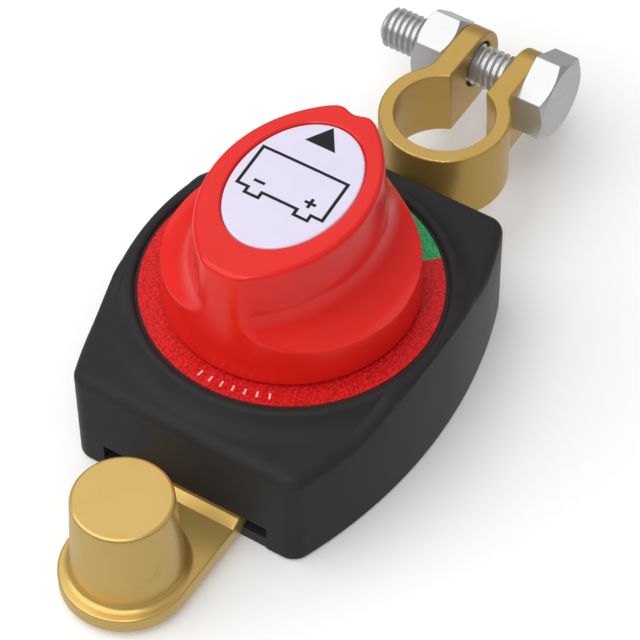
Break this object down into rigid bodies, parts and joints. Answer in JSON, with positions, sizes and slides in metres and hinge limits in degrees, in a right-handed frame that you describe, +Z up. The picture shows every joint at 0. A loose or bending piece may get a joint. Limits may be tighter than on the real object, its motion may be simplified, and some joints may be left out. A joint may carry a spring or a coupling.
{
  "type": "battery isolator switch",
  "caption": "Post-mounted battery isolator: sealed rotary switch with a red handle between a split battery clamp and a tapered battery post.",
  "frame": {"origin": "on the base plane, under the knob's axis of rotation", "axes": "+Z up along the knob's axis, +X towards the clamp that grips the battery's post, -X towards the post that takes the cable's clamp; the clamp bolt lies along Y with its nut at +Y"},
  "size_m": [0.1421, 0.0584, 0.0492],
  "materials": {
    "housing_black": "fine satin moulding",
    "plate_black": "matt moulding",
    "gasket": "soft",
    "screw_steel": "zinc plated",
    "brass": "satin cast and machined",
    "contact_silver": "silver faced",
    "bridge_copper": "bare copper",
    "spring_steel": "spring steel",
    "dial_print": "grainy red print with a green quarter",
    "rotor_nylon": "natural nylon",
    "washer_white": "slippery white",
    "knob_red": "satin moulding",
    "oval_print": "domed clear resin over a pale print",
    "zinc_steel": "bright zinc"
  },
  "bodies": {
    "housing": {"housing_cover": "housing_black", "base_plate": "plate_black", "side_gaskets": "gasket", "base_screws": "screw_steel", "post_terminal": "brass", "clamp_terminal": "brass", "post_contact": "contact_silver", "clamp_contact": "contact_silver", "dial_label": "dial_print", "detent_spring_front": "spring_steel", "detent_spring_back": "spring_steel", "thrust_washer": "washer_white"},
    "knob": {"knob": "knob_red", "knob_label": "oval_print", "knob_screw": "screw_steel", "screw_washer": "screw_steel", "rotor": "rotor_nylon", "shaft_seal": "gasket", "contact_bridge": "bridge_copper", "contact_spring": "spring_steel"},
    "bolt": {"clamp_bolt": "zinc_steel"},
    "nut": {"clamp_nut": "zinc_steel"}
  },
  "joints": [
    {"name": "knob_turn", "type": "hinge", "parent": "housing", "child": "knob", "pos_m": [0, 0, 0.025], "axis": [0, 0, 1], "range_deg": [0, 90], "deforming": ["detent_spring_front", "detent_spring_back"]},
    {"name": "nut_turn", "type": "hinge", "parent": "housing", "child": "nut", "pos_m": [0.0707, 0.0116, 0.0148], "axis": [0, 1, 0], "range_deg": [0, 2340]},
    {"name": "bolt_travel", "type": "slide", "parent": "housing", "child": "bolt", "axis": [0, -1, 0], "range_m": [0, 0.00813]}
  ],
  "couplings": [
    {"joint": "bolt_travel", "follows": "nut_turn", "m_per_rad": 0.00019894}
  ]
}
